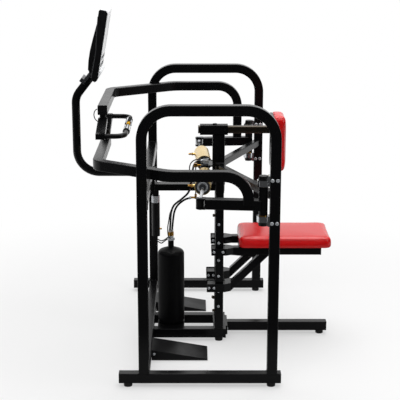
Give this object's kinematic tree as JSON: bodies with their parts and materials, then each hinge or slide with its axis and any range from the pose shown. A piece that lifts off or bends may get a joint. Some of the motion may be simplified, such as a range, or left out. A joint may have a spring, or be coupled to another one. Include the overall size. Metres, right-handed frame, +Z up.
{
  "type": "pneumatic seated row machine",
  "caption": "Seated row machine with crossing swing arms pushing on air cylinders, a seat that slides on two posts, a sliding chest pad and a display on a bent post",
  "frame": {"origin": "middle of the outline on the floor", "axes": "+X from the display to the seat, +Y from the near frame to the far frame, +Z up"},
  "size_m": [1.392, 1.5038, 1.8039],
  "materials": {
    "black_powder_coat": "semi-gloss black powder coat",
    "foot_plate_coat": "fine-grit black powder coat",
    "zinc": "bright zinc plate",
    "bare_steel": "darkened drawn steel",
    "cast_aluminium": "bare machined aluminium",
    "black_steel": "black oxide steel",
    "black_rubber": "smooth black rubber",
    "black_plastic": "moulded black plastic",
    "tank_paint": "matte black paint",
    "brass": "machined brass",
    "chrome": "polished chrome",
    "gold_anodised": "gold anodised aluminium",
    "grey_anodised": "dark grey anodised aluminium",
    "red_vinyl": "smooth red vinyl over foam",
    "pale_panel": "pale gloss plastic",
    "screen_glass": "dark display glass",
    "yellow_plastic": "yellow plastic"
  },
  "bodies": {
    "frame": {"base_rails": "black_powder_coat", "near_hoop": "black_powder_coat", "far_hoop": "black_powder_coat", "front_crossbars": "black_powder_coat", "floor_beams": "black_powder_coat", "rear_stabiliser": "black_powder_coat", "frame_bolts": "zinc", "floor_feet": "black_rubber", "tube_caps": "black_plastic", "seat_posts": "black_powder_coat", "brake_bar": "bare_steel", "upper_spine": "black_powder_coat", "chest_column": "black_powder_coat", "brace_struts": "black_powder_coat", "foot_plates": "foot_plate_coat", "pivot_brackets": "cast_aluminium", "pivot_shafts": "black_steel", "display_post": "black_powder_coat", "display_clamp": "grey_anodised", "display_housing": "black_plastic", "display_screen": "screen_glass", "display_panel": "pale_panel", "air_tank": "tank_paint", "valve_fittings": "zinc", "brass_fittings": "brass", "control_cylinder": "black_plastic", "cylinder_mount": "black_powder_coat", "air_hoses": "black_rubber"},
    "near_arm": {"near_arm": "black_powder_coat", "near_bushes": "brass", "near_arm_cap": "black_plastic", "near_lever_pin": "zinc"},
    "near_rod": {"near_rod": "chrome"},
    "near_barrel": {"near_barrel": "gold_anodised", "near_barrel_caps": "grey_anodised"},
    "near_handle": {"near_handle": "black_powder_coat", "near_button_housing": "chrome"},
    "near_button": {"near_button": "yellow_plastic"},
    "far_arm": {"far_arm": "black_powder_coat", "far_bushes": "brass", "far_arm_cap": "black_plastic", "far_lever_pin": "zinc"},
    "far_rod": {"far_rod": "chrome"},
    "far_barrel": {"far_barrel": "gold_anodised", "far_barrel_caps": "grey_anodised"},
    "far_handle": {"far_handle": "black_powder_coat", "far_button_housing": "chrome", "far_button_cable": "black_rubber"},
    "far_button": {"far_button": "black_plastic"},
    "seat": {"seat_pad": "red_vinyl", "seat_plate": "black_powder_coat", "seat_arms": "black_powder_coat", "seat_forks": "black_powder_coat", "seat_glides": "black_plastic", "seat_bolts": "zinc"},
    "brake_lever": {"brake_lever": "black_steel"},
    "chest": {"chest_slide": "bare_steel", "chest_board": "black_powder_coat", "chest_pad": "red_vinyl"},
    "chest_knob": {"chest_knob": "black_plastic"}
  },
  "joints": [
    {"name": "near_arm_swing", "type": "hinge", "parent": "frame", "child": "near_arm", "pos_m": [0.2865, -0.721, 0.953], "axis": [0, 0, -1], "range_deg": [0, 26]},
    {"name": "far_arm_swing", "type": "hinge", "parent": "frame", "child": "far_arm", "pos_m": [0.2865, 0.721, 0.953], "axis": [0, 0, 1], "range_deg": [0, 26]},
    {"name": "near_rod_pivot", "type": "hinge", "parent": "near_arm", "child": "near_rod", "pos_m": [-0.0155, -0.69, 0.932], "axis": [0, 0, 1], "range_deg": [0, 31]},
    {"name": "far_rod_pivot", "type": "hinge", "parent": "far_arm", "child": "far_rod", "pos_m": [-0.0155, 0.69, 0.952], "axis": [0, 0, -1], "range_deg": [0, 31]},
    {"name": "near_barrel_slide", "type": "slide", "parent": "near_rod", "child": "near_barrel", "axis": [-0.0469, -0.9989, 0], "range_m": [0, 0.135]},
    {"name": "far_barrel_slide", "type": "slide", "parent": "far_rod", "child": "far_barrel", "axis": [-0.0469, 0.9989, 0], "range_m": [0, 0.135]},
    {"name": "near_handle_swivel", "type": "hinge", "parent": "near_arm", "child": "near_handle", "pos_m": [-0.5235, 0.092, 1.13], "axis": [0, 0, 1], "range_deg": [-15, 15]},
    {"name": "far_handle_swivel", "type": "hinge", "parent": "far_arm", "child": "far_handle", "pos_m": [-0.5235, -0.092, 1.228], "axis": [0, 0, 1], "range_deg": [-15, 15]},
    {"name": "near_button_press", "type": "slide", "parent": "near_handle", "child": "near_button", "axis": [0, 1, 0], "range_m": [0, 0.003], "stiffness_N_per_m": 900, "springref_m": -0.002},
    {"name": "far_button_press", "type": "slide", "parent": "far_handle", "child": "far_button", "axis": [0, -1, 0], "range_m": [0, 0.003], "stiffness_N_per_m": 900, "springref_m": -0.002},
    {"name": "seat_height", "type": "slide", "parent": "frame", "child": "seat", "axis": [0, 0, 1], "range_m": [-0.03, 0.15]},
    {"name": "brake_release", "type": "hinge", "parent": "seat", "child": "brake_lever", "pos_m": [0.134, 0, 0.47], "axis": [0, 1, 0], "range_deg": [0, 10], "stiffness_Nm_per_rad": 12, "springref_deg": -6.88},
    {"name": "chest_reach", "type": "slide", "parent": "frame", "child": "chest", "axis": [1, 0, 0], "range_m": [-0.15, 0.05]},
    {"name": "chest_knob_turn", "type": "hinge", "parent": "frame", "child": "chest_knob", "pos_m": [0.068, 0, 1.19], "axis": [0, 0, 1], "range_deg": [-120, 120]}
  ],
  "couplings": [
    {"joint": "near_rod_pivot", "follows": "near_arm_swing", "ratio": 1.134},
    {"joint": "near_barrel_slide", "follows": "near_arm_swing", "m_per_rad": 0.2905},
    {"joint": "far_rod_pivot", "follows": "far_arm_swing", "ratio": 1.134},
    {"joint": "far_barrel_slide", "follows": "far_arm_swing", "m_per_rad": 0.2905}
  ]
}
